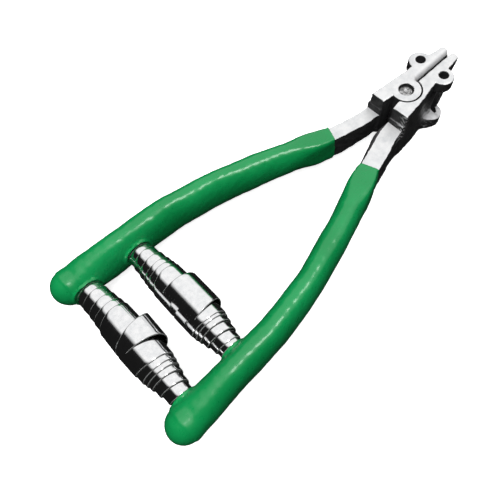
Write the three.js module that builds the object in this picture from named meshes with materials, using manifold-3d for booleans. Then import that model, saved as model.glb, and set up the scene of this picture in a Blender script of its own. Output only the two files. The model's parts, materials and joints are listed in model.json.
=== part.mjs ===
// Spring-loaded starting clamp for racket stringing, in millimetres, +Z up.
// Two non-crossing arms share a half-lap hinge. Two double volute springs push the handles
// apart, which keeps the jaws shut; squeezing the handles opens the jaws.
// The model is laid out about the hinge axis (x = y = 0, z = 0 at mid height, jaws towards
// +X), then moved so that the centre of the underside of its box is the origin.

import * as THREE from 'three';
import { mergeVertices } from 'three/addons/utils/BufferGeometryUtils.js';
import Module from 'manifold-3d';

const wasm = await Module();
wasm.setup();

// ---- driving dimensions ------------------------------------------------------------------

const HALF_HEIGHT = 15; // half the height of the jaw blocks
const RUNNING_GAP = 0.3; // clearance between pieces that touch or turn on each other
const BOND_GAP = 0.1; // clearance of a bonded or dipped layer to the steel under it

const REAR_X = -11.8; // back faces of the jaw blocks
const REAR_INNER_Y = 2.6;
// Outer side of each block in plan, from the nose's taper back to the rear corner.
const BLOCK_SIDE = {
  upper: [[10, 6.95], [REAR_X, 9.2]],
  lower: [[11, 6.8], [1.4, 8.9], [REAR_X + 0.5, 10.4]],
};
const NOSE_X = 30.3; // tips of the jaws
const NOSE_OUTER_Y = 4.8;
const NOSE_RADIUS = 1.6;
const NOSE_DEPTH = 1.4; // height of the blunt front edge of the nose
const FRONT_X = 21; // front faces of the jaws under the nose
const JAW_FACE_Y = 0.75; // steel behind each gripping face

const EAR_RADIUS = 6.45;
const LAP_CLEARANCE = 0.7; // round each ear, where it turns in the other arm
const PIN_RADIUS = 3;
const PIN_RECESS = 1.4; // depth of the pin's ends below the block faces

const ACROSS = [-1, 13]; // y range wide enough to cut right across an arm's block
const HEEL = { x: -5, z: -6.5 }; // the upper-ear arm's block is cut away under its shank

const LUG = { x: 16.7, y: 6.5, radius: 5, thickness: 5.2, holeX: 17.2, holeRadius: 2.2 };
const WEB = { rearX: 8, frontX: 23.4, y: 6.7, topZ: 10 }; // thicker wall between the lugs
const LOWER_LUG_INSET = 0.6; // the lower lug stops a little above the underside

const FACING = { backX: 7.6, thickness: 0.5, topInset: 1.7, bottomInset: 0.6, frontInset: 0.7 };

// Each station along an arm is [x, y, half width in plan, top z, bottom z].
const SHANK_STATIONS = {
  upper: [
    [-8, 6.6, 3.3, 5.4, -6.4],
    [-16, 7.0, 3.3, 5.4, -6.4],
    [-25, 8.7, 3.3, 5.4, -7.0],
    [-34.5, 11.3, 3.3, 5.3, -8.2],
  ],
  lower: [
    [-8, 5.7, 3.8, 5.4, -14.6],
    [-16, 6.7, 3.8, 5.4, -14.0],
    [-25, 9.4, 4.0, 5.4, -12.8],
    [-34.5, 12.2, 3.9, 5.3, -10.6],
  ],
};
const TANG_STATIONS = [
  [-46, 15.9, 3.6, 5.2, -5.4],
  [-70, 24.4, 3.6, 6.2, -6.2],
  [-93, 31.1, 3.6, 7.2, -7.2],
  [-117, 35.1, 3.9, 7.8, -7.8],
  [-138, 36.0, 4.4, 7.8, -7.8],
  [-160, 37.2, 4.2, 6.2, -6.2],
];
const GRIP_FRONT = {
  upper: [
    [-34.0, 11.2, 4.2, 6.3, -8.8],
    [-40, 13.2, 4.7, 6.8, -7.9],
    [-47, 15.9, 5.2, 7.5, -7.8],
  ],
  lower: [
    [-35.0, 12.2, 4.6, 6.4, -11.2],
    [-40, 13.9, 5.4, 7.0, -11.0],
    [-47, 16.3, 5.9, 7.6, -10.2],
  ],
};
const GRIP_STATIONS = [
  [-70, 24.4, 5.9, 8.9, -8.9],
  [-93, 31.1, 5.8, 10.0, -10.0],
  [-117, 35.1, 6.1, 10.9, -10.9],
  [-138, 36.2, 6.5, 11.0, -11.0],
  [-152, 37.0, 7.1, 9.8, -9.8],
  [-161, 37.5, 7.2, 8.4, -8.4],
];
const GRIP_SQUARENESS = { front: 6, body: 2.2, blend: 0.12 }; // 2 is an ellipse
const STEEL_CHAMFER = 0.5;
const BULB = { x: -162.3, y: 37.6, radius: 7.4, halfHeight: 8.9 };

const SPRINGS = [
  { name: 'rear', x: -156.6, seatY: 30.0, endRadius: 5.6, midRadius: 9.9 },
  { name: 'front', x: -130.2, seatY: 29.2, endRadius: 5.3, midRadius: 9.2 },
];
const STRIP = { thickness: 0.8, turnsPerSide: 6, midShare: 0.3 };
const PEG = { radius: 3, tipRadius: 2.1, reach: 6.5, root: 7 };

const ROUND = 32; // segments of the larger round shapes
const SMALL_ROUND = 20;

// ---- solids --------------------------------------------------------------------------------

function toSolid(geometry) {
  const bare = geometry.clone();
  bare.deleteAttribute('normal');
  bare.deleteAttribute('uv');
  const merged = mergeVertices(bare, 1e-4);
  const vertProperties = new Float32Array(merged.attributes.position.array);
  const triVerts = new Uint32Array(merged.index.array);
  if (signedVolume(vertProperties, triVerts) < 0) triVerts.reverse();
  return new wasm.Manifold(new wasm.Mesh({ numProp: 3, vertProperties, triVerts }));
}

// Negative where the faces point inwards.
function signedVolume(corners, triangles) {
  const [a, b, c] = [0, 1, 2].map(() => new THREE.Vector3());
  let volume = 0;
  for (let i = 0; i < triangles.length; i += 3) {
    a.fromArray(corners, triangles[i] * 3);
    b.fromArray(corners, triangles[i + 1] * 3);
    c.fromArray(corners, triangles[i + 2] * 3);
    volume += a.dot(b.cross(c)) / 6;
  }
  return volume;
}

function toGeometry(solid) {
  const mesh = solid.getMesh();
  const geometry = new THREE.BufferGeometry();
  const corners = new Float32Array(mesh.vertProperties);
  geometry.setAttribute('position', new THREE.BufferAttribute(corners, 3));
  geometry.setIndex(new THREE.BufferAttribute(new Uint32Array(mesh.triVerts), 1));
  const flat = geometry.toNonIndexed();
  flat.computeVertexNormals();
  return flat;
}

// Upright disc or bar along Z.
function disc(x, y, radius, z0, z1, segments = ROUND) {
  const geometry = new THREE.CylinderGeometry(radius, radius, z1 - z0, segments);
  geometry.rotateX(Math.PI / 2);
  geometry.translate(x, y, (z0 + z1) / 2);
  return toSolid(geometry);
}

// Plan outline raised between two heights.
function raise(shape, z0, z1) {
  const geometry = new THREE.ExtrudeGeometry(shape, {
    depth: z1 - z0, bevelEnabled: false, curveSegments: 6,
  });
  geometry.translate(0, 0, z0);
  return toSolid(geometry);
}

// Side outline, given as [x, z], carried across from y0 to y1.
function acrossY(outline, y0, y1) {
  const shape = new THREE.Shape(outline.map(([x, z]) => new THREE.Vector2(x, z)));
  const geometry = new THREE.ExtrudeGeometry(shape, { depth: y1 - y0, bevelEnabled: false });
  geometry.rotateX(Math.PI / 2);
  geometry.translate(0, y1, 0);
  return toSolid(geometry);
}

// Bar whose section follows the stations: a cylinder's rings are moved onto the path.
// section turns a point of the unit ring and the half sizes into a point of the section.
function sweep(stations, section, sides, steps, grow = 0) {
  const path = smoothThrough(stations.map(([x, y]) => [x, y, 0]));
  const size = smoothThrough(stations.map(([, , width, top, bottom]) => [width, top, bottom]));
  const geometry = new THREE.CylinderGeometry(
    1, 1, 1, sides, steps, false, Math.PI / sides);
  const corners = geometry.attributes.position;
  for (let i = 0; i < corners.count; i += 1) {
    const along = corners.getY(i) + 0.5;
    const centre = path.getPoint(along);
    const tangent = path.getTangent(along);
    const { x: width, y: top, z: bottom } = size.getPoint(along);
    const middle = (top + bottom) / 2;
    const half = (top - bottom) / 2;
    const onAxis = Math.hypot(corners.getX(i), corners.getZ(i)) < 0.5;
    const [side, up] = onAxis
      ? [0, 0]
      : section(corners.getX(i), corners.getZ(i), width + grow, half + grow, along);
    corners.setXYZ(
      i, centre.x - tangent.y * side, centre.y + tangent.x * side, middle + up);
  }
  return toSolid(geometry);
}

function smoothThrough(points) {
  return new THREE.CatmullRomCurve3(
    points.map((point) => new THREE.Vector3(...point)), false, 'catmullrom');
}

// Rectangle with chamfered corners, for an eight-sided ring.
function chamferedSection(x, z, halfWidth, halfHeight) {
  const wide = Math.abs(x) > Math.abs(z);
  return [
    Math.sign(x) * (wide ? halfWidth : halfWidth - STEEL_CHAMFER),
    Math.sign(z) * (wide ? halfHeight - STEEL_CHAMFER : halfHeight),
  ];
}

// Rounded rectangle where the grip starts on the steel, soon turning into an oval.
function gripSection(x, z, halfWidth, halfHeight, along) {
  const { front, body, blend } = GRIP_SQUARENESS;
  const power = THREE.MathUtils.lerp(front, body, THREE.MathUtils.smoothstep(along, 0, blend));
  const scale = (Math.abs(x) ** power + Math.abs(z) ** power) ** (-1 / power);
  return [x * scale * halfWidth, z * scale * halfHeight];
}

function mirrorY(solid) {
  return solid.mirror([0, 1, 0]);
}

// ---- arms ----------------------------------------------------------------------------------

function blockOutline(lap) {
  const shape = new THREE.Shape();
  shape.moveTo(REAR_X, REAR_INNER_Y);
  shape.lineTo(0, JAW_FACE_Y);
  shape.lineTo(NOSE_X - NOSE_RADIUS, JAW_FACE_Y);
  shape.absarc(
    NOSE_X - NOSE_RADIUS, JAW_FACE_Y + NOSE_RADIUS, NOSE_RADIUS, -Math.PI / 2, 0, false);
  shape.absarc(
    NOSE_X - NOSE_RADIUS, NOSE_OUTER_Y - NOSE_RADIUS, NOSE_RADIUS, 0, Math.PI / 2 - 0.13, false);
  for (const corner of BLOCK_SIDE[lap]) shape.lineTo(...corner);
  shape.closePath();
  return shape;
}

// Seen from the side, only the upper part of the jaw reaches out to the nose.
function sideOutline(inset = 0) {
  return [
    [REAR_X - 1, HALF_HEIGHT + 1],
    [REAR_X - 1, -HALF_HEIGHT - 1],
    [FRONT_X - inset, -HALF_HEIGHT - 1],
    [FRONT_X - inset, -9],
    [FRONT_X + 2.5 - inset, -1],
    [FRONT_X + 4.5 - inset, 6],
    [NOSE_X - inset, HALF_HEIGHT - NOSE_DEPTH],
    [NOSE_X - inset, HALF_HEIGHT + 1],
  ];
}

// Wedge of the block's lower rear that the upper-ear arm doesn't have.
function heelCut() {
  const outline = [
    [REAR_X - 1, -HALF_HEIGHT - 1], [HEEL.x, -HALF_HEIGHT - 1], [HEEL.x, -HALF_HEIGHT],
    [REAR_X, HEEL.z], [REAR_X - 1, HEEL.z],
  ];
  return acrossY(outline, ...ACROSS);
}

function webSolid() {
  const shape = new THREE.Shape([
    new THREE.Vector2(WEB.rearX, JAW_FACE_Y), new THREE.Vector2(WEB.frontX, JAW_FACE_Y),
    new THREE.Vector2(WEB.frontX, WEB.y), new THREE.Vector2(WEB.rearX, WEB.y),
  ]);
  return raise(shape, -HALF_HEIGHT, WEB.topZ);
}

function lugs() {
  const { x, y, radius, thickness } = LUG;
  const bottom = -HALF_HEIGHT + LOWER_LUG_INSET;
  return disc(x, y, radius, HALF_HEIGHT - thickness, HALF_HEIGHT)
    .add(disc(x, y, radius, bottom, bottom + thickness));
}

// Steel inside and behind the jaw block; lap is 'upper' or 'lower', the half its ear fills.
function shankAndTang(lap, grow = 0) {
  const stations = [...SHANK_STATIONS[lap], ...TANG_STATIONS];
  return sweep(stations, chamferedSection, 8, 30, grow);
}

// An arm on the +Y side.
function armSolid(lap) {
  const up = lap === 'upper' ? 1 : -1;
  const lapFace = (up * RUNNING_GAP) / 2;
  const earEnds = [lapFace, up * HALF_HEIGHT].sort((a, b) => a - b);
  const recessEnds = [lapFace, -up * (HALF_HEIGHT + 1)].sort((a, b) => a - b);
  const through = [-HALF_HEIGHT - 1, HALF_HEIGHT + 1];
  let arm = raise(blockOutline(lap), -HALF_HEIGHT, HALF_HEIGHT).add(webSolid());
  arm = arm.intersect(acrossY(sideOutline(), ...ACROSS));
  if (lap === 'upper') arm = arm.subtract(heelCut());
  arm = arm.add(lugs());
  arm = arm.add(shankAndTang(lap));
  arm = arm.subtract(disc(0, 0, EAR_RADIUS + LAP_CLEARANCE, ...recessEnds));
  arm = arm.add(disc(0, 0, EAR_RADIUS, ...earEnds));
  arm = arm.subtract(disc(0, 0, PIN_RADIUS + RUNNING_GAP, ...through, SMALL_ROUND));
  arm = arm.subtract(disc(LUG.holeX, LUG.y, LUG.holeRadius, ...through, SMALL_ROUND));
  for (const spring of SPRINGS) arm = arm.subtract(pegSolid(spring, RUNNING_GAP));
  return arm;
}

// ---- gripping faces ------------------------------------------------------------------------

function facingSolid() {
  const y0 = RUNNING_GAP / 2;
  const plate = new THREE.Shape();
  plate.moveTo(FACING.backX, y0);
  plate.lineTo(NOSE_X - FACING.frontInset, y0);
  plate.lineTo(NOSE_X - FACING.frontInset, y0 + FACING.thickness);
  plate.lineTo(FACING.backX, y0 + FACING.thickness);
  plate.closePath();
  return raise(plate, -HALF_HEIGHT + FACING.bottomInset, HALF_HEIGHT - FACING.topInset)
    .intersect(acrossY(sideOutline(FACING.frontInset), -1, 1));
}

// ---- hinge pin -----------------------------------------------------------------------------

function pinGeometry() {
  const end = HALF_HEIGHT - PIN_RECESS;
  const dish = 0.5; // shallow centre mark in each end
  const profile = [
    [0, -end + dish], [1.2, -end], [PIN_RADIUS - 0.3, -end], [PIN_RADIUS, -end + 0.3],
    [PIN_RADIUS, end - 0.3], [PIN_RADIUS - 0.3, end], [1.2, end], [0, end - dish],
  ];
  const geometry = new THREE.LatheGeometry(
    profile.map(([r, z]) => new THREE.Vector2(r, z)), SMALL_ROUND);
  return geometry.rotateX(Math.PI / 2);
}

// ---- spring pegs ---------------------------------------------------------------------------

// Stud pressed into the steel, out through the grip and into the end of the spring.
// grow makes the same shape larger, to cut its hole.
function pegSolid({ x, seatY }, grow = 0) {
  const tip = seatY - PEG.reach - grow;
  const root = seatY + PEG.root + grow;
  const profile = [
    [0, tip], [PEG.tipRadius + grow, tip], [PEG.radius + grow, tip + 2],
    [PEG.radius + grow, root], [0, root],
  ];
  const geometry = new THREE.LatheGeometry(
    profile.map(([r, y]) => new THREE.Vector2(r, y)), SMALL_ROUND);
  geometry.translate(x, 0, 0);
  return toSolid(geometry);
}

// ---- grips ---------------------------------------------------------------------------------

function gripSolid(lap) {
  const { x, y, radius, halfHeight } = BULB;
  const bulb = new THREE.SphereGeometry(1, 24, 14);
  bulb.rotateX(Math.PI / 2);
  bulb.scale(radius, radius, halfHeight);
  bulb.translate(x, y, 0);
  const stations = [...GRIP_FRONT[lap], ...GRIP_STATIONS];
  let grip = sweep(stations, gripSection, 20, 28).add(toSolid(bulb));
  grip = grip.subtract(shankAndTang(lap, BOND_GAP));
  for (const spring of SPRINGS) {
    grip = grip.subtract(pegSolid(spring, RUNNING_GAP));
    grip = grip.subtract(seatCut(spring));
  }
  return grip;
}

// Flat seat for the end coil of a spring.
function seatCut({ x, seatY, endRadius }) {
  const depth = 8;
  const geometry = new THREE.CylinderGeometry(
    endRadius + 0.6, endRadius + 0.6, depth, SMALL_ROUND);
  geometry.translate(x, seatY - depth / 2, 0);
  return toSolid(geometry);
}

// ---- springs -------------------------------------------------------------------------------

// Double volute spring: telescoping bands, small at both ends and widest in the middle.
function springGeometry({ seatY, endRadius, midRadius }) {
  const half = seatY - RUNNING_GAP;
  const { thickness, turnsPerSide, midShare } = STRIP;
  const bandLength = (half * (1 - midShare)) / turnsPerSide;
  const bands = [];
  for (let turn = 0; turn < turnsPerSide; turn += 1) {
    const radius = THREE.MathUtils.lerp(endRadius, midRadius, turn / turnsPerSide);
    const y = -half + turn * bandLength;
    bands.push([radius, y], [radius, y + bandLength]);
  }
  const lower = [...bands, [midRadius, -half * midShare]];
  const upper = lower.map(([r, y]) => [r, -y]).reverse();
  const inner = [
    [endRadius - thickness, half],
    [midRadius - 2 * thickness, half * midShare],
    [midRadius - 2 * thickness, -half * midShare],
    [endRadius - thickness, -half],
  ];
  const profile = [...lower, ...upper, ...inner, lower[0]];
  return new THREE.LatheGeometry(profile.map(([r, y]) => new THREE.Vector2(r, y)), 28);
}

// ---- assembly ------------------------------------------------------------------------------

const bareSteel = { color: 0xc9cbcd, roughness: 0.35, metalness: 1 };
const chrome = { color: 0xd8dadc, roughness: 0.12, metalness: 1 };
const grit = { color: 0x2b2b2d, roughness: 0.9, metalness: 0.2 };
const pinSteel = { color: 0x8d8f92, roughness: 0.4, metalness: 1 };
const greenVinyl = { color: 0x0f8f50, roughness: 0.25, metalness: 0 };

const clamp = new THREE.Group();

function addPiece(name, shape, finish) {
  const geometry = shape.isBufferGeometry ? shape : toGeometry(shape);
  const mesh = new THREE.Mesh(geometry, new THREE.MeshStandardMaterial(finish));
  mesh.name = name;
  clamp.add(mesh);
  return mesh;
}

addPiece('left_arm', armSolid('upper'), bareSteel);
addPiece('right_arm', mirrorY(armSolid('lower')), bareSteel);
addPiece('left_grip', gripSolid('upper'), greenVinyl);
addPiece('right_grip', mirrorY(gripSolid('lower')), greenVinyl);
addPiece('left_jaw_facing', facingSolid(), grit);
addPiece('right_jaw_facing', mirrorY(facingSolid()), grit);
addPiece('pivot_pin', pinGeometry(), pinSteel);
for (const spring of SPRINGS) {
  addPiece(`left_${spring.name}_peg`, pegSolid(spring), pinSteel);
  addPiece(`right_${spring.name}_peg`, mirrorY(pegSolid(spring)), pinSteel);
  addPiece(`${spring.name}_spring`, springGeometry(spring), chrome).position.x = spring.x;
}

const box = new THREE.Box3().setFromObject(clamp);
clamp.position.set(-(box.min.x + box.max.x) / 2, -(box.min.y + box.max.y) / 2, -box.min.z);

export default clamp;
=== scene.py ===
"""Racket stringing starting clamp: the looks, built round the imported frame.

Two forged arms turn on a half-lap hinge. Their side faces are black forging scale and their
flat faces are ground bright. Each handle is dipped in green vinyl, and two double volute
springs, rolled from V-shaped strip, hold the handles apart.

Shapes are in millimetres about the hinge axis, with the jaws towards +X, and are turned into
metres in the frame's own axes when a mesh is made.
"""

import json
import math

import bpy
import numpy as np
from mathutils import Matrix, Vector

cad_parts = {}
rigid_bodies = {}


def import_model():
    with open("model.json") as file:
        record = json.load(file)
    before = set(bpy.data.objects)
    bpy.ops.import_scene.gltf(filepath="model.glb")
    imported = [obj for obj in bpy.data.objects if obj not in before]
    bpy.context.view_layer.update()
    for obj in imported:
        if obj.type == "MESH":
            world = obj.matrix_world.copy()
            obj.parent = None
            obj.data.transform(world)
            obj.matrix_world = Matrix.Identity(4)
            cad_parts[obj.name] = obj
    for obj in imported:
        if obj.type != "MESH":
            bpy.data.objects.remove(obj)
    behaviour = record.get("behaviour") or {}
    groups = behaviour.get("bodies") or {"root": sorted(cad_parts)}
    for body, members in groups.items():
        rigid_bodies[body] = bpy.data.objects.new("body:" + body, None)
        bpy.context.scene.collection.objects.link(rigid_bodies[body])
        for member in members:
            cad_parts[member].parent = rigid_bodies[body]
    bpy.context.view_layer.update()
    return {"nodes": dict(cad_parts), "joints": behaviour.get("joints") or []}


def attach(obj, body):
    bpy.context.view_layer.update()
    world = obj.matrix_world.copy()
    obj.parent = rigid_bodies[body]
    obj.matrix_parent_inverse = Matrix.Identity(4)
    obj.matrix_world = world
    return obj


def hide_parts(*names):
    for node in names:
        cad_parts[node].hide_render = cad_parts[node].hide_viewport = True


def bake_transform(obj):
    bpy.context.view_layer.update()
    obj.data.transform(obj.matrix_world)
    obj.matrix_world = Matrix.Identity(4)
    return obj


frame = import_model()

MM = 0.001
HINGE = Vector(frame["joints"][0]["pos_m"])
LEFT_BODY = frame["joints"][0]["parent"]
RIGHT_BODY = frame["joints"][0]["child"]

# ---- driving dimensions, in millimetres ----------------------------------------------------

HALF_HEIGHT = 15.0
RUNNING_GAP = 0.3
BOND_GAP = 0.15

REAR_X = -11.8
REAR_INNER_Y = 2.6
# Outer side of each block from above, from the nose's taper back to the rear corner.
BLOCK_SIDE = {
    "upper": ((10.0, 6.95), (REAR_X, 9.2)),
    "lower": ((11.0, 6.8), (1.4, 8.9), (REAR_X + 0.5, 10.4)),
}
NOSE_X = 30.3
NOSE_OUTER_Y = 4.8
NOSE_RADIUS = 1.7
FRONT_X = 21.0
JAW_FACE_Y = 0.75
JAW_ROLL = 3.0  # rounding of the left jaw's upper inner edge
JAW_BACK_X = 6.6

EAR_RADIUS = 6.45
LAP_CLEARANCE = 0.7
PIN_RADIUS = 3.0
PIN_RECESS = 1.4
LUG = {"x": 16.7, "y": 6.5, "radius": 5.0, "thickness": 5.2, "hole_x": 17.2, "hole": 2.2}
WEB = ((8.0, JAW_FACE_Y), (23.4, JAW_FACE_Y), (23.4, 6.5), (22.6, 6.7), (8.0, 6.9))
WEB_TOP = 10.0
LOWER_LUG_BOTTOM = -14.4
# The upper-ear arm's block is cut away under its shank; the other one's heel is only bevelled.
HEEL = ((-14.0, -17.0), (-5.0, -17.0), (-5.0, -15.0), (REAR_X, -6.5), (-14.0, -6.5))
HEEL_BEVEL = (9.4, 11.0)  # its outer side at the underside and at mid height
TOP_LUG_FILLET = {"upper": 2.6, "lower": 0.7}
LOWER_LUG_RAMP = (6.5, 1.0)  # fillet behind the lower lug, and in front of it
SHANK_FILLET = {"upper": 1.6, "lower": 0.8}
MILLING_STOCK = 3.0

# Stations along a handle, from the block backwards: [x, y, half width, top z, bottom z].
SHANK = {
    "upper": ((-8, 6.6, 3.3, 5.4, -6.4), (-16, 7.0, 3.3, 5.4, -6.4),
              (-25, 8.7, 3.3, 5.4, -7.0), (-34.5, 11.3, 3.3, 5.3, -8.2),
              (-46, 15.9, 3.6, 5.2, -5.4)),
    "lower": ((-8, 5.7, 3.8, 5.4, -14.6), (-16, 6.7, 3.8, 5.4, -14.0),
              (-25, 9.4, 4.0, 5.4, -12.8), (-34.5, 12.2, 3.9, 5.3, -10.6),
              (-46, 15.9, 3.6, 5.2, -5.4)),
}
SHANK_END_X = -44.0
# How far each shank's inner side swells out, at three places along it.
SHANK_SWELL = {"x": (-34, -18, -12), "upper": (0.0, 0.0, 0.0), "lower": (1.5, 2.9, 2.1)}
GRIP_FRONT = {
    "upper": ((-34.0, 11.2, 4.2, 6.3, -8.8), (-40, 13.2, 4.7, 6.8, -7.9),
              (-47, 15.9, 5.2, 7.5, -7.8)),
    "lower": ((-35.0, 12.2, 4.6, 6.4, -11.2), (-40, 13.9, 5.4, 7.0, -11.0),
              (-47, 16.3, 5.9, 7.6, -10.2)),
}
GRIP = ((-70, 24.4, 5.9, 8.9, -8.9), (-93, 31.1, 5.8, 10.0, -10.0),
        (-117, 35.1, 6.1, 10.9, -10.9), (-138, 36.2, 6.5, 11.0, -11.0),
        (-152, 37.0, 7.1, 9.8, -9.8), (-161, 37.5, 7.2, 8.4, -8.4))
GRIP_SQUARENESS = (8, 2.25)  # power of the section at its front and further back; 2 is oval
BULB = {"x": -162.3, "y": 37.6, "radius": 7.4, "half_height": 8.9}

# A spring's edges are (turns from its outer end, distance from the left seat); the two edges
# part from each other as the strip winds inwards. Its radii are (distance, radius).
SPRINGS = {
    "rear": {
        "x": -156.6, "seat_y": 30.0,
        "lean": ((0, -0.8), (14, 0.0), (60, 0.0)),
        "right_edge": ((0, 32.2), (0.31, 34.0), (0.44, 35.2), (0.6, 36.4), (1.44, 43.6),
                       (2.44, 46.3), (3.44, 48.3), (4.44, 50.8), (5.44, 55.2), (6.44, 59.7)),
        "left_edge": ((0, 30.6), (0.31, 28.8), (0.44, 27.2), (0.63, 25.2), (1.44, 16.0),
                      (2.44, 12.7), (3.44, 8.8), (4.44, 4.0), (5.44, 0.3)),
        "radii": ((0, 6.2), (4, 6.5), (8.8, 6.9), (12.7, 7.35), (16, 7.8), (25.2, 9.9),
                  (35.2, 9.7), (43.6, 8.3), (46.3, 7.8), (48.3, 7.35), (50.8, 6.8),
                  (55.2, 6.0), (60, 5.1)),
        "cones": ((0, 0.0), (1.3, 0.05), (2.4, 0.0)),
        "bulge": 1.4,
    },
    "front": {
        "x": -130.2, "seat_y": 29.2,
        "lean": ((0, -1.2), (20, -0.6), (58, -0.5)),
        "right_edge": ((0, 42.6), (0.28, 41.9), (0.44, 41.2), (0.65, 39.6), (1.0, 42.6),
                       (1.3, 44.2), (1.44, 44.9), (2.44, 46.1), (3.44, 48.4), (4.44, 52.1),
                       (5.44, 56.3), (6.44, 58.1)),
        "left_edge": ((0, 22.6), (0.44, 23.7), (0.65, 24.3), (1.0, 21.5), (1.44, 16.8),
                      (2.44, 14.3), (3.44, 11.8), (4.44, 8.0), (5.44, 3.5), (6.2, 0.3)),
        "radii": ((0, 5.8), (3.4, 6.2), (8, 6.8), (11.8, 7.3), (14.3, 7.6), (16.8, 7.9),
                  (23.8, 9.0), (41.2, 9.0), (44.9, 8.2), (46.1, 7.85), (48.4, 7.4),
                  (52.1, 6.6), (56.3, 5.6), (58.4, 5.1)),
        "cones": ((0, 0.0), (1.3, 0.02), (2.4, 0.0)),
        "bulge": 1.1,
    },
}
STRIP = {"thickness": 0.45, "edge": 0.22, "width": 11.0, "outer_end_deg": -158.0,
         "last_turn": 1.1}

# ---- fields: negative inside, positive outside, in millimetres -----------------------------


def join(a, b, fillet=0.0):
    """a and b together, with a concave fillet where they meet."""
    if np.isscalar(fillet) and fillet == 0:
        return np.minimum(a, b)
    share = np.clip(0.5 + 0.5 * (b - a) / fillet, 0, 1)
    return b + (a - b) * share - fillet * share * (1 - share)


def keep(a, b, rounding=0.0):
    """What a and b share, with the edge where they meet rounded."""
    return -join(-a, -b, rounding)


def cut(a, b, rounding=0.0):
    """a without b."""
    return -join(-a, b, rounding)


def slab(v, low, high):
    return np.maximum(low - v, v - high)


def polygon(points, u, v):
    """Distance to a closed outline in a plane."""
    nearest = np.inf
    crossings = np.zeros(np.broadcast(u, v).shape, bool)
    for (au, av), (bu, bv) in zip(points, points[1:] + points[:1]):
        du, dv = bu - au, bv - av
        t = np.clip(((u - au) * du + (v - av) * dv) / (du * du + dv * dv), 0, 1)
        nearest = np.minimum(nearest, np.hypot(u - au - t * du, v - av - t * dv))
        if dv != 0:
            across = (av > v) != (bv > v)
            crossings ^= across & (u < du * (v - av) / dv + au)
    return np.where(crossings, -nearest, nearest)


def through(stations, column, x):
    """Smooth curve through one column of the stations, read at x, without overshoot."""
    rows = np.array([(s[0], s[column]) for s in reversed(stations)], float)
    xs, vs = rows[:, 0], rows[:, 1]
    rise = np.diff(vs) / np.diff(xs)
    steady = rise[:-1] * rise[1:] > 0
    mean = 2 * rise[:-1] * rise[1:] / np.where(steady, rise[:-1] + rise[1:], 1)
    slope = np.concatenate([rise[:1], np.where(steady, mean, 0), rise[-1:]])
    x = np.clip(x, xs[0], xs[-1])
    i = np.clip(np.searchsorted(xs, x) - 1, 0, len(xs) - 2)
    span = xs[i + 1] - xs[i]
    t = (x - xs[i]) / span
    return (
        vs[i] * (1 + 2 * t) * (1 - t) ** 2
        + vs[i + 1] * t * t * (3 - 2 * t)
        + span * t * (1 - t) * (slope[i] * (1 - t) - slope[i + 1] * t)
    )


def waves(x, y, z, length, seed, count=7):
    """Smooth unevenness between about -1 and 1, with swells about this long."""
    random = np.random.default_rng(seed)
    total = 0.0
    for _ in range(count):
        k = random.normal(size=3)
        k *= 2 * math.pi / length / np.linalg.norm(k) * random.uniform(0.6, 1.5)
        total = total + np.sin(k[0] * x + k[1] * y + k[2] * z + random.uniform(0, 2 * math.pi))
    return total / math.sqrt(count)


# ---- surface of a field --------------------------------------------------------------------


def slopes(field, points):
    """Unit normals of the field at the points."""
    reach = 0.02
    found = np.empty_like(points)
    for axis in range(3):
        step = np.zeros(3)
        step[axis] = reach
        ahead, behind = (points + step).T, (points - step).T
        found[:, axis] = field(*ahead) - field(*behind)
    return found / np.maximum(np.linalg.norm(found, axis=1), 1e-9)[:, None]


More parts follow.
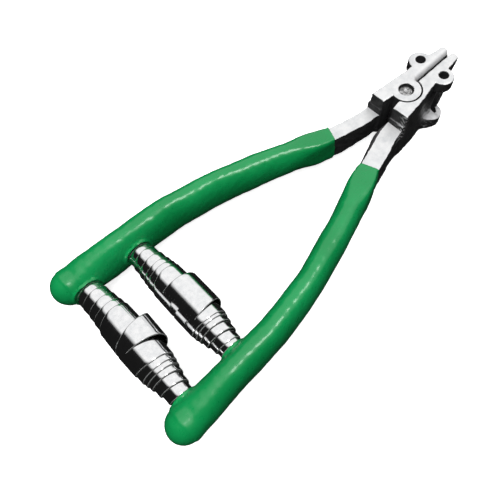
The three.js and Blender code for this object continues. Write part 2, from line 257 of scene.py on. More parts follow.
def contour(field, low, high, step):
    """Corners and four-sided faces of the surface where the field is 0. Each cell of a grid
    that the surface crosses has one corner, put where the planes through its crossings meet,
    so that sharp edges stay sharp."""
    axes = [np.arange(a, b + step, step) for a, b in zip(low, high)]
    x, y, z = axes[0][:, None, None], axes[1][None, :, None], axes[2][None, None, :]
    shape = tuple(len(a) for a in axes)
    value = np.ascontiguousarray(np.broadcast_to(field(x, y, z), shape))
    inside = value < 0
    cell_shape = np.array(shape) - 1

    cells, flips, places, normals = [], [], [], []
    for axis in range(3):
        here = tuple(slice(None, -1) if a == axis else slice(1, -1) for a in range(3))
        there = tuple(slice(1, None) if a == axis else slice(1, -1) for a in range(3))
        at = np.argwhere(inside[here] != inside[there])
        at += np.array([0 if a == axis else 1 for a in range(3)])
        ahead = at.copy()
        ahead[:, axis] += 1
        v0, v1 = value[tuple(at.T)], value[tuple(ahead.T)]
        place = np.stack([axes[a][at[:, a]] for a in range(3)], 1)
        place[:, axis] += step * v0 / (v0 - v1)
        b, c = (axis + 1) % 3, (axis + 2) % 3
        ring = np.repeat(at[:, None, :], 4, axis=1)
        ring[:, (1, 2), b] -= 1
        ring[:, (2, 3), c] -= 1
        cells.append(np.ravel_multi_index(np.moveaxis(ring, -1, 0), cell_shape))
        flips.append(v0 < 0)
        places.append(place)
        normals.append(slopes(field, place))
    cells, flips = np.concatenate(cells), np.concatenate(flips)
    places, normals = np.concatenate(places), np.concatenate(normals)

    used, index = np.unique(cells, return_inverse=True)
    index = index.reshape(cells.shape)
    count = np.bincount(index.ravel(), minlength=len(used))

    def gathered(values):
        """Sum over each used cell of a value of its crossings."""
        flat = np.repeat(values, 4)
        return np.bincount(index.ravel(), weights=flat, minlength=len(used))

    middle = np.stack([gathered(places[:, a]) for a in range(3)], 1) / count[:, None]
    offset = np.einsum("ij,ij->i", normals, places)
    matrix = np.empty((len(used), 3, 3))
    right = np.empty((len(used), 3))
    for a in range(3):
        right[:, a] = gathered(normals[:, a] * offset)
        for b in range(3):
            matrix[:, a, b] = gathered(normals[:, a] * normals[:, b])
    right -= np.einsum("nij,nj->ni", matrix, middle)
    matrix += np.eye(3) * (0.04 * count)[:, None, None]
    corner = np.stack(np.unravel_index(used, cell_shape), 1)
    lowest = np.array([a[0] for a in axes]) + corner * step
    moved = middle + np.linalg.solve(matrix, right[:, :, None])[:, :, 0]
    corners = np.clip(moved, lowest - 0.1 * step, lowest + 1.1 * step)
    faces = np.where(flips[:, None], index, index[:, ::-1])
    return corners, faces


# ---- meshes --------------------------------------------------------------------------------


def to_frame(points, side=1):
    """Points in millimetres about the hinge, mirrored to the other arm if side is -1."""
    return (np.asarray(points) * (1, side, 1)) * MM + np.array(HINGE)


def new_piece(name, points, faces, side=1, sharp_deg=None):
    """A smooth-shaded object, with edges sharper than sharp_deg kept sharp."""
    if side < 0:
        faces = [tuple(reversed(f)) for f in faces]
    mesh = bpy.data.meshes.new(name)
    mesh.from_pydata(to_frame(points, side).tolist(), [], [tuple(map(int, f)) for f in faces])
    mesh.validate()
    mesh.shade_smooth()
    if sharp_deg:
        mesh.set_sharp_from_angle(angle=math.radians(sharp_deg))
    piece = bpy.data.objects.new(name, mesh)
    bpy.context.scene.collection.objects.link(piece)
    return piece


def give(piece, name, values):
    """Stores one value for each corner of the piece, for its material to read."""
    attribute = piece.data.attributes.new(name, "FLOAT", "POINT")
    attribute.data.foreach_set("value", np.asarray(values, np.float32))


def dress(piece, body, node, slot, *materials):
    for material in materials:
        piece.data.materials.append(material)
    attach(piece, body)
    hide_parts(node)


# ---- materials -----------------------------------------------------------------------------


class Finish:
    """A material with a Principled shader, and short ways to add nodes to it."""

    def __init__(self, name, **values):
        self.material = bpy.data.materials.new(name)
        self.material.use_nodes = True
        self.nodes = self.material.node_tree.nodes
        self.links = self.material.node_tree.links
        self.shader = self.nodes["Principled BSDF"]
        self.place = self.nodes.new("ShaderNodeTexCoord").outputs["Object"]
        for socket, value in values.items():
            self.shader.inputs[socket.replace("_", " ")].default_value = value

    def noise(self, scale, detail=3.0, roughness=0.5, stretch=None, distortion=0.0):
        """Noise with about this many lumps to a metre."""
        node = self.nodes.new("ShaderNodeTexNoise")
        node.inputs["Scale"].default_value = scale
        node.inputs["Detail"].default_value = detail
        node.inputs["Roughness"].default_value = roughness
        node.inputs["Distortion"].default_value = distortion
        place = self.place
        if stretch:
            mapping = self.nodes.new("ShaderNodeMapping")
            mapping.inputs["Scale"].default_value = stretch[:3]
            mapping.inputs["Rotation"].default_value = (0, 0, math.radians(stretch[3]))
            self.links.new(place, mapping.inputs["Vector"])
            place = mapping.outputs["Vector"]
        self.links.new(place, node.inputs["Vector"])
        return node.outputs["Fac"]

    def ramp(self, value, *stops):
        """Each stop is (position, colour or number)."""
        node = self.nodes.new("ShaderNodeValToRGB")
        elements = node.color_ramp.elements
        while len(elements) < len(stops):
            elements.new(0.5)
        for element, (position, colour) in zip(elements, stops):
            element.position = position
            rgb = colour if isinstance(colour, tuple) else (colour,) * 3
            element.color = (*rgb, 1)
        self.links.new(value, node.inputs["Fac"])
        return node.outputs["Color"]

    def mix(self, share, a, b):
        """a where share is 0 and b where it is 1."""
        node = self.nodes.new("ShaderNodeMix")
        node.data_type = "RGBA"
        self.links.new(share, node.inputs["Factor"])
        self.links.new(a, node.inputs[6])
        self.links.new(b, node.inputs[7])
        return node.outputs[2]

    def stored(self, name):
        node = self.nodes.new("ShaderNodeAttribute")
        node.attribute_name = name
        return node.outputs["Fac"]

    def drive(self, socket, value):
        self.links.new(value, self.shader.inputs[socket])

    def bump(self, *layers):
        """Each layer is (height value, strength, height in metres)."""
        normal = None
        for value, strength, height in layers:
            node = self.nodes.new("ShaderNodeBump")
            node.inputs["Strength"].default_value = strength
            node.inputs["Distance"].default_value = height
            self.links.new(value, node.inputs["Height"])
            if normal:
                self.links.new(normal, node.inputs["Normal"])
            normal = node.outputs["Normal"]
        self.links.new(normal, self.shader.inputs["Normal"])


def ground_steel():
    """Flat faces ground bright, with faint smears and grinding lines."""
    finish = Finish("ground_steel", Metallic=0.35)
    smears = finish.noise(260, detail=4, roughness=0.6)
    lines = finish.noise(1500, detail=2, stretch=(1.0, 0.06, 1.0, 62))
    finish.drive("Base Color", finish.ramp(smears, (0.3, (0.60, 0.61, 0.62)), (0.62, 0.75)))
    finish.drive("Roughness", finish.ramp(smears, (0.25, 0.46), (0.7, 0.34)))
    finish.bump((lines, 0.25, 0.00003), (smears, 0.15, 0.0001))
    return finish.material


def black_scale():
    """Forging scale: black and rough, turned grey where the stored value is high: rubbed-off
    scale, and painted highlights on upward-facing slopes by the lower lug.
    """
    finish = Finish("black_scale", Specular_IOR_Level=0.25)
    grain = finish.noise(2600, detail=4, roughness=0.65)
    patches = finish.noise(330, detail=3)
    # The stored value greys the scale: rubbed-off scale, and painted highlights by the lower
    # lug.
    wear_and_highlight = finish.stored("wear_and_highlight")
    scale = finish.ramp(patches, (0.3, (0.020, 0.020, 0.021)), (0.75, (0.042, 0.042, 0.043)))
    rubbed_and_lit = finish.ramp(patches, (0.3, (0.46, 0.46, 0.47)), (0.7, (0.72, 0.72, 0.73)))
    finish.drive("Base Color", finish.mix(wear_and_highlight, scale, rubbed_and_lit))
    finish.drive("Roughness", finish.ramp(grain, (0.2, 0.5), (0.8, 0.72)))
    finish.bump((patches, 0.3, 0.0004), (grain, 0.35, 0.00012))
    return finish.material


def green_vinyl():
    """Thick glossy dip with a slightly uneven skin."""
    finish = Finish(
        "green_vinyl", Specular_IOR_Level=0.4, Coat_Weight=0.4, Coat_Roughness=0.1)
    cloud = finish.noise(45, detail=2)
    skin = finish.noise(420, detail=2, roughness=0.45)
    pores = finish.noise(3000, detail=2)
    finish.drive(
        "Base Color",
        finish.ramp(cloud, (0.35, (0.003, 0.225, 0.058)), (0.65, (0.005, 0.270, 0.074))))
    finish.drive("Roughness", finish.ramp(skin, (0.3, 0.26), (0.7, 0.36)))
    finish.bump((skin, 0.25, 0.0005), (pores, 0.03, 0.00005))
    return finish.material


def chrome_strip():
    """Plated spring strip, with the faint draw lines that run along it."""
    finish = Finish("chrome_strip", Metallic=1.0)
    tone = finish.noise(500, detail=3)
    lines = finish.noise(900, detail=2, stretch=(0.1, 4.0, 0.1, 0))
    finish.drive("Base Color", finish.ramp(tone, (0.3, (0.80, 0.81, 0.82)), (0.7, 0.93)))
    finish.drive("Roughness", finish.ramp(lines, (0.25, 0.07), (0.75, 0.16)))
    finish.bump((lines, 0.12, 0.00004), (tone, 0.05, 0.0002))
    return finish.material


def sheared_edge():
    """The strip's cut edges, grey and rough."""
    finish = Finish("sheared_edge", Metallic=0.2, Specular_IOR_Level=0.3)
    burrs = finish.noise(2500, detail=3)
    finish.drive("Base Color", finish.ramp(burrs, (0.35, 0.12), (0.7, 0.28)))
    finish.drive("Roughness", finish.ramp(burrs, (0.3, 0.65), (0.7, 0.45)))
    finish.bump((burrs, 0.4, 0.00005))
    return finish.material


def pin_steel():
    """Peened pin and studs, mottled grey."""
    finish = Finish("pin_steel", Metallic=0.9)
    mottle = finish.noise(900, detail=4, roughness=0.6, distortion=0.6)
    finish.drive("Base Color", finish.ramp(mottle, (0.35, 0.16), (0.52, 0.36), (0.68, 0.7)))
    finish.drive("Roughness", finish.ramp(mottle, (0.3, 0.55), (0.7, 0.32)))
    finish.bump((mottle, 0.5, 0.0002))
    return finish.material


def bonded_grit():
    """Fine dark grit bonded to the jaw faces."""
    finish = Finish("bonded_grit", Specular_IOR_Level=0.3)
    grains = finish.noise(5200, detail=3, roughness=0.7)
    finish.drive("Base Color", finish.ramp(grains, (0.35, 0.008), (0.75, 0.04)))
    finish.drive("Roughness", finish.ramp(grains, (0.3, 0.95), (0.7, 0.7)))
    finish.bump((grains, 0.8, 0.0001))
    return finish.material


# ---- arms ----------------------------------------------------------------------------------


def arc(cx, cy, radius, start_deg, end_deg, count=6):
    angles = np.radians(np.linspace(start_deg, end_deg, count))
    return [(cx + radius * math.cos(a), cy + radius * math.sin(a)) for a in angles]


def block_outline(lap):
    """The block and jaw from above."""
    tip = NOSE_X - NOSE_RADIUS
    return [
        (REAR_X, REAR_INNER_Y), (0, JAW_FACE_Y), (tip, JAW_FACE_Y),
        *arc(tip, JAW_FACE_Y + NOSE_RADIUS, NOSE_RADIUS, -90, 0),
        *arc(tip, NOSE_OUTER_Y - NOSE_RADIUS, NOSE_RADIUS, 0, 82),
        *BLOCK_SIDE[lap],
    ]


def side_outline():
    """The block and jaw from the side; only the upper part reaches out to the nose."""
    over = HALF_HEIGHT + 2
    return [
        (REAR_X - 1, over), (REAR_X - 1, -over), (FRONT_X, -over), (FRONT_X, -9),
        (FRONT_X + 2.5, -1), (FRONT_X + 4.5, 6), (NOSE_X, HALF_HEIGHT - 1.4), (NOSE_X + 1, over),
    ]


def shank_field(x, y, z, lap, stock=0.0):
    """The handle's steel behind the block, with stock left on top to be milled off."""
    stations = SHANK[lap]
    centre = through(stations, 1, x)
    turn = (through(stations, 1, x - 0.5) - through(stations, 1, x + 0.5))
    swell = np.interp(x, SHANK_SWELL["x"], SHANK_SWELL[lap])
    swell = swell * np.maximum(1 - ((z + 1.5) / 7) ** 2, 0)
    inner = np.where(y < centre, swell, 0)
    side = np.abs(y - centre) / np.hypot(1, turn) - through(stations, 2, x) - inner
    bar = keep(side, through(stations, 4, x) - z, 0.7)
    bar = keep(bar, z - through(stations, 3, x) - stock)
    return keep(bar, slab(x, SHANK_END_X, -6))


def block_field(x, y, z, lap, outline, profile):
    """The block and jaw, with the thicker wall between the lugs."""
    plan = join(polygon(outline, x, y), keep(polygon(list(WEB), x, y), z - WEB_TOP))
    block = keep(plan, polygon(profile, x, z), 0.5)
    if lap == "upper":
        return cut(block, polygon(list(HEEL), x, z), 1.0)
    return keep(block, y - np.interp(z, (-HALF_HEIGHT, 0), HEEL_BEVEL), 0.6)


def add_lugs(body, x, y, z, lap):
    """Upper lug flush with the top face, and lower lug with a ramp behind it."""
    lug = np.hypot(x - LUG["x"], y - LUG["y"]) - LUG["radius"]
    top_lug = keep(lug, slab(z, HALF_HEIGHT - LUG["thickness"], HALF_HEIGHT + 2), 0.4)
    low_lug = keep(lug, slab(z, LOWER_LUG_BOTTOM, LOWER_LUG_BOTTOM + LUG["thickness"]), 0.4)
    body = join(body, top_lug, np.where(x > LUG["x"], TOP_LUG_FILLET[lap], 0.5))
    ramp = np.interp(x, (LUG["x"] - 1, LUG["x"] + 3), LOWER_LUG_RAMP)
    return join(body, low_lug, ramp)


def mill_flats(body, x, y, z, lap):
    """Cuts the flat faces: shank top, block top and underside, and the jaw's inner side."""
    over_shank = keep(x - REAR_X + 0.3, through(SHANK[lap], 3, x) - z)
    body = cut(body, over_shank)
    body = keep(body, slab(z, -HALF_HEIGHT, HALF_HEIGHT), 0.8)
    face_y = np.interp(x, (REAR_X, 0), (REAR_INNER_Y, JAW_FACE_Y))
    body = np.where(x > REAR_X, np.maximum(body, face_y - y), body)
    if lap == "upper":
        radius = JAW_ROLL * np.clip((x - JAW_BACK_X + 1) / 3, 0.02, 1)
        inner, top = JAW_FACE_Y - y + radius, z - HALF_HEIGHT + radius
        roll = np.hypot(np.maximum(inner, 0), np.maximum(top, 0)) - radius
        body = np.where(x > JAW_BACK_X - 1, np.maximum(body, roll), body)
    return body


def cut_hinge(body, x, y, z, up):
    """Shapes the half-lap hinge and bores the holes; the ear is above the lap if up is 1."""
    axis = np.hypot(x, y)
    lap_face = up * RUNNING_GAP / 2
    body = cut(body, keep(axis - EAR_RADIUS - LAP_CLEARANCE, up * (z - lap_face)))
    ear = keep(axis - EAR_RADIUS, slab(up * z, RUNNING_GAP / 2, HALF_HEIGHT))
    body = join(body, ear)
    chamfer = np.maximum(np.abs(z) - HALF_HEIGHT + 0.2, 0)
    body = cut(body, axis - PIN_RADIUS - RUNNING_GAP - chamfer)
    eye = np.hypot(x - LUG["hole_x"], y - LUG["y"]) - LUG["hole"]
    return cut(body, eye - 0.7 * chamfer)


def arm_field(lap):
    """The field of an arm on the +Y side; lap is the half of the hinge that its ear fills."""
    outline, profile = block_outline(lap), side_outline()

    def field(x, y, z):
        body = block_field(x, y, z, lap, outline, profile)
        body = add_lugs(body, x, y, z, lap)
        shank = shank_field(x, y, z, lap, MILLING_STOCK)
        body = join(body, shank, SHANK_FILLET[lap])
        body = body + 0.07 * waves(x, y, z, 5.0, 11) + 0.03 * waves(x, y, z, 1.7, 12)
        body = mill_flats(body, x, y, z, lap)
        return cut_hinge(body, x, y, z, 1 if lap == "upper" else -1)

    return field


def make_arm(name, body, side, lap, bright, dark):
    low, high = (SHANK_END_X - 1, -7.2, -HALF_HEIGHT - 0.8), (NOSE_X + 1, 18, HALF_HEIGHT + 0.8)
    field = arm_field(lap)
    points, faces = contour(field, low, high, ARM_STEP)
    arm = new_piece(name, points, faces, side, sharp_deg=32)
    # Stores how grey the scale is drawn, including painted highlights by the lower lug.
    give(arm, "wear_and_highlight", arm_wear_and_highlight(points, slopes(field, points), lap))
    dress(arm, body, name.replace("_forging", ""), "forged_steel", bright, dark)
    ground = ground_faces(points, faces, lap)
    arm.data.polygons.foreach_set("material_index", np.where(ground, 0, 1).astype(np.int32))


def ground_faces(points, faces, lap):
    """Which faces are ground bright: the block's top and underside, the shank's top, and the
    left jaw's rolled edge."""
    x, y, z = points[faces].mean(axis=1).T
    upward = face_normals(points, faces)[:, 2]
    on_block = (np.abs(upward) > 0.7) & (np.abs(z) > HALF_HEIGHT - 0.5)
    on_shank = (np.abs(upward) > 0.985) & (np.abs(z - through(SHANK[lap], 3, x)) < 0.12)
    on_roll = (z > HALF_HEIGHT - JAW_ROLL) & (x > JAW_BACK_X)
    on_roll &= (y < JAW_FACE_Y + JAW_ROLL) & (upward > 0.05) & (lap == "upper")
    return on_block | (on_shank & (x < REAR_X)) | on_roll


def face_normals(points, faces):
    a, b, c, d = (points[faces[:, i]] for i in range(4))
    normal = np.cross(c - a, d - b)
    return normal / np.maximum(np.linalg.norm(normal, axis=1), 1e-12)[:, None]


def spot(u, v, at_u, at_v, spread):
    """1 at a place, fading out round it."""
    return np.exp(-((u - at_u) ** 2 + (v - at_v) ** 2) / spread)


def arm_wear_and_highlight(points, normals, lap):
    """How grey the scale is drawn. Faces turned up or down get a little. Round the lower lug, a
    face gets more the further it turns up: rubbed scale on the lug's top and a painted highlight
    on the slope behind it.
    On the right arm the scale is also rubbed at the rear corner and on the wall between the
    lugs. A streak runs down to the lower lug that is partly rubbed scale and partly a painted
    highlight."""
    x, y, z = points.T
    facing_up = np.clip((np.abs(normals[:, 2]) - 0.3) / 0.6, 0, 1)
    near_lug = (np.hypot(x - LUG["x"], y - LUG["y"]) < 8.5) & (z < -3) & (z > -14)
    # Near the lower lug, upward-facing faces are drawn lighter: rubbed scale on the lug's top,
    # and a painted highlight on the slope behind it.
    rubbed_and_lit = np.clip((normals[:, 2] - 0.04) / 0.45, 0, 1)
    wear_and_highlight = np.where(near_lug, rubbed_and_lit, 0.2 * facing_up)
    if lap == "lower":
        corner = spot(x, y, REAR_X - 1, 10, 5) * np.clip((z + 2) / 4, 0, 1)
        wear_and_highlight += corner * np.clip(waves(x, y, z, 1.8, 21) * 1.8 - 0.1, 0, 1)
        wear_and_highlight += 0.3 * spot(x, z, LUG["x"] + 1, 1, 12)
        # A grey streak down the wall to the lower lug: partly rubbed scale, partly a painted
        # highlight.
        down = np.clip((5.5 - z) / 11.5, 0, 1)
        smear_and_highlight = spot(x, z, 4 + 6 * down, 5.5 - 11.5 * down, 6)
        wear_and_highlight += smear_and_highlight * (0.6 + 0.25 * waves(x, y, z, 2.2, 22)) * (y > 5)
    return np.clip(wear_and_highlight, 0, 1)


# ---- grips ---------------------------------------------------------------------------------


def grip_field(lap):
    stations = GRIP_FRONT[lap] + GRIP
    front_x = stations[0][0]

    def field(x, y, z):
        centre = through(stations, 1, x)
        turn = through(stations, 1, x - 0.5) - through(stations, 1, x + 0.5)
        top, bottom = through(stations, 3, x), through(stations, 4, x)
        side = np.abs(y - centre) / np.hypot(1, turn) / through(stations, 2, x)
        rise = np.abs(z - (top + bottom) / 2) / ((top - bottom) / 2)
        blend = np.clip((front_x - x) / 20, 0, 1)
        square, oval = GRIP_SQUARENESS
        power = square + (oval - square) * blend * blend * (3 - 2 * blend)
        norm = (side ** power + rise ** power) ** (1 / power)
        tube = (norm - 1) * through(stations, 2, x)
        front = (x - front_x) - 0.35 * (y - stations[0][1])
        tube = keep(tube, front * 0.94, 0.6)
        tube = keep(tube, BULB["x"] - x)
        away = np.sqrt(((x - BULB["x"]) ** 2 + (y - BULB["y"]) ** 2) / BULB["radius"] ** 2
                       + z ** 2 / BULB["half_height"] ** 2)
        body = join(tube, (away - 1) * BULB["radius"], 1.5)
        body = body + 0.10 * waves(x, y, z, 16.0, 31) + 0.03 * waves(x, y, z, 5.0, 32)
        end = 0 if lap == "upper" else -1
        for spring in SPRINGS.values():
            body = seat(body, spring, end, x, y, z)
        return cut(body, shank_field(x, y, z, lap) - BOND_GAP)

    return field


def seat(body, spring, end, x, y, z):
    """The dip stands up in a low collar round the first or last end of a spring."""
    end_radius = spring["radii"][end][1]
    away = np.hypot(x - spring["x"] - spring["lean"][end][1], z)
    collar = np.hypot(away - end_radius - 0.7, y - spring["seat_y"] - 0.3) - 0.5
    body = join(body, collar, 0.9)
    hole = keep(away - end_radius - 0.4, y - spring["seat_y"])
    return cut(body, hole, 0.3)


def make_grip(name, body, side, lap, vinyl):
    low = (BULB["x"] - BULB["radius"] - 1, 5, -12.5)
    high = (GRIP_FRONT[lap][0][0] + 2, 46.5, 12.5)
    points, faces = contour(grip_field(lap), low, high, GRIP_STEP)
    grip = new_piece(name, points, faces, side, sharp_deg=50)
    dress(grip, body, name.replace("_dip", ""), "green_vinyl", vinyl)


# ---- springs -------------------------------------------------------------------------------


def ring_strip(name, outer, inner, backwards, band, edge):
    """A closed strip from two grids of points [along, across], whose columns run backwards
    on one of a spring's legs. The first column, and the rim along it, are the sheared edge."""
    along, across = outer.shape[:2]
    points = np.concatenate([outer.reshape(-1, 3), inner.reshape(-1, 3)])
    first = np.arange(along * across).reshape(along, across)
    second = first + along * across
    faces, sheared = [], []

    def quads(grid, flip, is_edge=False):
        a, b, c, d = grid[:-1, :-1], grid[1:, :-1], grid[1:, 1:], grid[:-1, 1:]
        ring = (a, d, c, b) if flip != backwards else (a, b, c, d)
        new = np.stack(ring, -1).reshape(-1, 4).tolist()
        faces.extend(new)
        sheared.extend([is_edge] * len(new))

    quads(first[:, :2], False, True)
    quads(first[:, 1:], False)
    quads(second, True)
    for line in (0, -1):
        quads(np.stack([first[:, line], second[:, line]], 1), line == 0, line == 0)
        quads(np.stack([first[line], second[line]], 1), line == -1)
    piece = new_piece(name, points, faces, sharp_deg=40)
    piece.data.materials.append(band)
    piece.data.materials.append(edge)
    piece.data.polygons.foreach_set("material_index", np.array(sheared, np.int32))
    return piece


def spring_leg(spring, edge_name, middle):
    """Grids of the outer and inner surface of one leg of the strip, from its free edge, which
    is turned down a little, to its hidden one. The outermost turn runs straight across from
    leg to leg."""
    edges = {name: np.array(spring[name]) for name in ("left_edge", "right_edge")}
    radii, cones = np.array(spring["radii"]), np.array(spring["cones"])
    edge = edges[edge_name]
    end = edge[-1, 0]
    turns = np.linspace(0, end + STRIP["last_turn"], int(end * 60) + 61)[:, None]
    left, right = (np.interp(turns, e[:, 0], e[:, 1]) for e in edges.values())
    free, inward = (left, 1) if edge_name == "left_edge" else (right, -1)
    reach = np.minimum(STRIP["width"], np.abs(free - middle))
    inset = STRIP["edge"] + (reach - STRIP["edge"]) * np.linspace(0, 1, 9)
    s = free + inward * np.concatenate([np.zeros_like(reach), inset], axis=1)

    at_left, at_right = (np.interp(e, radii[:, 0], radii[:, 1]) for e in (left, right))
    straight = at_left + (at_right - at_left) * (s - left) / (right - left)
    at_edge = at_left if edge_name == "left_edge" else at_right
    cone = np.interp(turns, cones[:, 0], cones[:, 1])
    inner = at_edge + cone * np.abs(s - free) - 0.4 * np.maximum(turns - end, 0)
    share = np.clip((turns - 0.9) / 0.5, 0, 1)
    radius = straight + (inner - straight) * share

    angle = np.radians(STRIP["outer_end_deg"]) + turns * 2 * math.pi
    lean = np.array(spring["lean"])
    centre_x = spring["x"] + np.interp(s, lean[:, 0], lean[:, 1])
    centre_x = centre_x + spring["bulge"] * np.clip((1.3 - turns) / 0.6, 0, 1)
    turned_down = np.where(np.arange(s.shape[1]) == 0, 0.12, 0.0)
    return [
        np.stack([centre_x + r * np.sin(angle), spring["seat_y"] - s, r * np.cos(angle)], -1)
        for r in (radius - turned_down, radius - STRIP["thickness"])
    ]


def make_spring(which, chrome, sheared):
    spring = SPRINGS[which]
    edges = [np.array(spring[e])[:, 1] for e in ("left_edge", "right_edge")]
    middle = (edges[0][0] + edges[1][0]) / 2
    legs = []
    for edge_name in ("left_edge", "right_edge"):
        outer, inner = spring_leg(spring, edge_name, middle)
        backwards = edge_name == "left_edge"
        name = f"{which}_{edge_name}_leg"
        legs.append(ring_strip(name, outer, inner, backwards, chrome, sheared))
    return legs


# ---- pin and gripping faces ----------------------------------------------------------------


def revolve(profile, count):
    """Points and faces of an outline [radius, height] turned about the Z axis; the outline
    starts and ends on the axis."""
    ring = profile[1:-1]
    angles = np.linspace(0, 2 * math.pi, count, endpoint=False)
    points = [(r * math.cos(a), r * math.sin(a), z) for r, z in ring for a in angles]
    points += [(0, 0, profile[0][1]), (0, 0, profile[-1][1])]
    bottom, top = len(points) - 2, len(points) - 1
    last = (len(ring) - 1) * count
    faces = []
    for i in range(count):
        j = (i + 1) % count
        faces.append((bottom, j, i))
        faces.append((top, last + i, last + j))
        for row in range(0, last, count):
            faces.append((row + i, row + j, row + count + j, row + count + i))
    return np.array(points), faces


def make_pin(steel):
    """The pin, its ends peened a little uneven round a shallow centre mark."""
    end = HALF_HEIGHT - PIN_RECESS
    rim = [(0.0, -0.3), (0.5, -0.26), (0.9, -0.1), (1.3, 0.0), (1.8, 0.0), (2.3, -0.02),
           (2.65, -0.05), (2.9, -0.12), (PIN_RADIUS, -0.3)]
    profile = [(r, -end - dz) for r, dz in rim] + [(r, end + dz) for r, dz in reversed(rim)]
    points, faces = revolve(profile, 48)
    near_end = np.clip((np.abs(points[:, 2]) - end + 1.2) / 1.2, 0, 1)
    points[:, 2] += 0.09 * near_end * waves(*points.T, 2.2, 41)
    pin = new_piece("hinge_pin", points, faces, sharp_deg=60)
    dress(pin, LEFT_BODY, "pivot_pin", "pin_steel", steel)


def make_facing(name, body, side, lap, grit):
    """A thin layer of grit with a crumbly face, set back from the jaw's edges."""
    profile = [(u - 0.7, v) for u, v in side_outline()]
    near = RUNNING_GAP / 2

    def field(x, y, z):
        crumbs = 0.05 * waves(x, y * 0, z, 0.9, 51 if side > 0 else 52)
        layer = slab(y, near + 0.06 + crumbs, near + 0.5)
        layer = keep(layer, polygon(profile, x, z))
        layer = keep(layer, slab(z, -HALF_HEIGHT + 0.6, HALF_HEIGHT - 1.7))
        return keep(layer, JAW_BACK_X + 1 - x)

    points, faces = contour(field, (6, -0.5, -16), (31, 1.5, 15), FACING_STEP)
    facing = new_piece(name, points, faces, side, sharp_deg=40)
    dress(facing, body, name.replace("_grit", "_facing"), "bonded_grit", grit)


# ---- the object ----------------------------------------------------------------------------

ARM_STEP = 0.32
GRIP_STEP = 0.6
FACING_STEP = 0.3

bright, dark = ground_steel(), black_scale()
vinyl, chrome, sheared = green_vinyl(), chrome_strip(), sheared_edge()
steel, grit = pin_steel(), bonded_grit()

ARMS = (("left", LEFT_BODY, 1, "upper"), ("right", RIGHT_BODY, -1, "lower"))
for word, body, side, lap in ARMS:
    make_arm(f"{word}_arm_forging", body, side, lap, bright, dark)
    make_grip(f"{word}_grip_dip", body, side, lap, vinyl)
    make_facing(f"{word}_jaw_grit", body, side, lap, grit)
    for which in SPRINGS:
        stud = frame["nodes"][f"{word}_{which}_peg"]
        stud.data.materials.clear()
        stud.data.materials.append(steel)
make_pin(steel)
for which, spring in SPRINGS.items():
    for leg in make_spring(which, chrome, sheared):
        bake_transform(leg)
        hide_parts(f"{which}_spring")

# ---- floor, light and camera ---------------------------------------------------------------


def make_floor():
    """A pale sheet, which lights itself a little so that shadows stay soft."""
    half = 6.0
    mesh = bpy.data.meshes.new("floor")
    mesh.from_pydata([(-half, -half, 0), (half, -half, 0), (half, half, 0), (-half, half, 0)],
                     [], [(0, 1, 2, 3)])
    floor = bpy.data.objects.new("floor", mesh)
    floor.location.z = -0.0003
    bpy.context.scene.collection.objects.link(floor)
    paper = Finish("pale_paper", Roughness=0.9, Specular_IOR_Level=0.1)
    paper.shader.inputs["Emission Color"].default_value = (1, 1, 1, 1)
    paper.shader.inputs["Emission Strength"].default_value = 0.75
    fibre = paper.noise(90, detail=3)
    paper.drive("Base Color", paper.ramp(fibre, (0.3, 0.90), (0.7, 0.93)))
    mesh.materials.append(paper.material)
    floor.visible_glossy = False
    floor.visible_diffuse = False


def fade(nodes, links, value, start, end):
    """Grey that goes from start to end, each given as (value, brightness)."""
    node = nodes.new("ShaderNodeValToRGB")
    links.new(value, node.inputs["Fac"])
    for element, (position, grey) in zip(node.color_ramp.elements, (start, end)):
        element.position = position
        element.color = (grey, grey, grey, 1)
    return node.outputs["Color"]


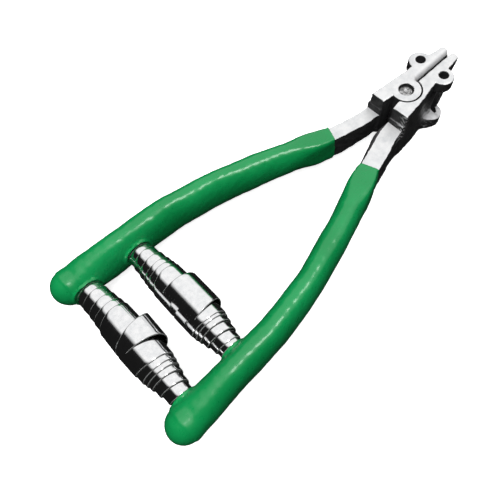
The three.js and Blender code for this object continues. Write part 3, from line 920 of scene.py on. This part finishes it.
def make_world():
    """A soft dome: bright round one direction overhead, dark elsewhere, pale where seen."""
    world = bpy.data.worlds.new("dome")
    bpy.context.scene.world = world
    world.use_nodes = True
    nodes, links = world.node_tree.nodes, world.node_tree.links
    place = nodes.new("ShaderNodeTexCoord")
    towards = nodes.new("ShaderNodeVectorMath")
    towards.operation = "DOT_PRODUCT"
    towards.inputs[1].default_value = (0.55, 0.15, 0.82)
    parts = nodes.new("ShaderNodeSeparateXYZ")
    for node in (towards, parts):
        links.new(place.outputs["Generated"], node.inputs[0])
    ramp = fade(nodes, links, towards.outputs["Value"], (0.48, 0.01), (0.68, 1.0))
    sky = fade(nodes, links, parts.outputs["Z"], (0.1, 0.0), (1.0, 0.45))
    ray = nodes.new("ShaderNodeLightPath")
    diffuse, seen = nodes.new("ShaderNodeMix"), nodes.new("ShaderNodeMix")
    diffuse.data_type = seen.data_type = "RGBA"
    links.new(ray.outputs["Is Diffuse Ray"], diffuse.inputs["Factor"])
    links.new(ramp, diffuse.inputs[6])
    links.new(sky, diffuse.inputs[7])
    seen.inputs[7].default_value = (0.93, 0.93, 0.93, 1)
    links.new(ray.outputs["Is Camera Ray"], seen.inputs["Factor"])
    links.new(diffuse.outputs[2], seen.inputs[6])
    links.new(seen.outputs[2], nodes["Background"].inputs["Color"])


def make_light(name, place, aim, size, power):
    data = bpy.data.lights.new(name, "AREA")
    data.shape = "RECTANGLE"
    data.size, data.size_y = size
    data.energy = power
    light = bpy.data.objects.new(name, data)
    light.location = place
    direction = Vector(aim) - Vector(place)
    light.rotation_euler = direction.to_track_quat("-Z", "Y").to_euler()
    bpy.context.scene.collection.objects.link(light)
    return light


def make_camera():
    """Looks down on the tool from beyond the handles; angles in degrees, lengths in mm."""
    elevation, azimuth, roll = math.radians(65.12), math.radians(34.39), math.radians(-9.3)
    aim = HINGE + Vector((-97.2, -2.75, 0)) * MM
    back = Vector((
        -math.sin(azimuth) * math.cos(elevation),
        -math.cos(azimuth) * math.cos(elevation),
        math.sin(elevation),
    ))
    data = bpy.data.cameras.new("camera")
    data.lens = 39.86
    data.sensor_width = 36.0
    data.clip_start, data.clip_end = 0.01, 50
    camera = bpy.data.objects.new("camera", data)
    turned = (-back).to_track_quat("-Z", "Y").to_matrix() @ Matrix.Rotation(roll, 3, "Z")
    camera.matrix_world = Matrix.Translation(aim + back * 231.1 * MM) @ turned.to_4x4()
    bpy.context.scene.collection.objects.link(camera)
    bpy.context.scene.camera = camera


make_floor()
make_world()
key = make_light("key", (-0.25, -0.1, 1.1), (0, 0, 0), (0.7, 0.7), 14.0)
key.visible_glossy = False
sheen = make_light("sheen", (0.28, -0.38, 1.1), (0, 0, 0), (0.38, 0.38), 4.5)
sheen.visible_diffuse = False
make_camera()
bpy.context.scene.view_settings.view_transform = "Standard"
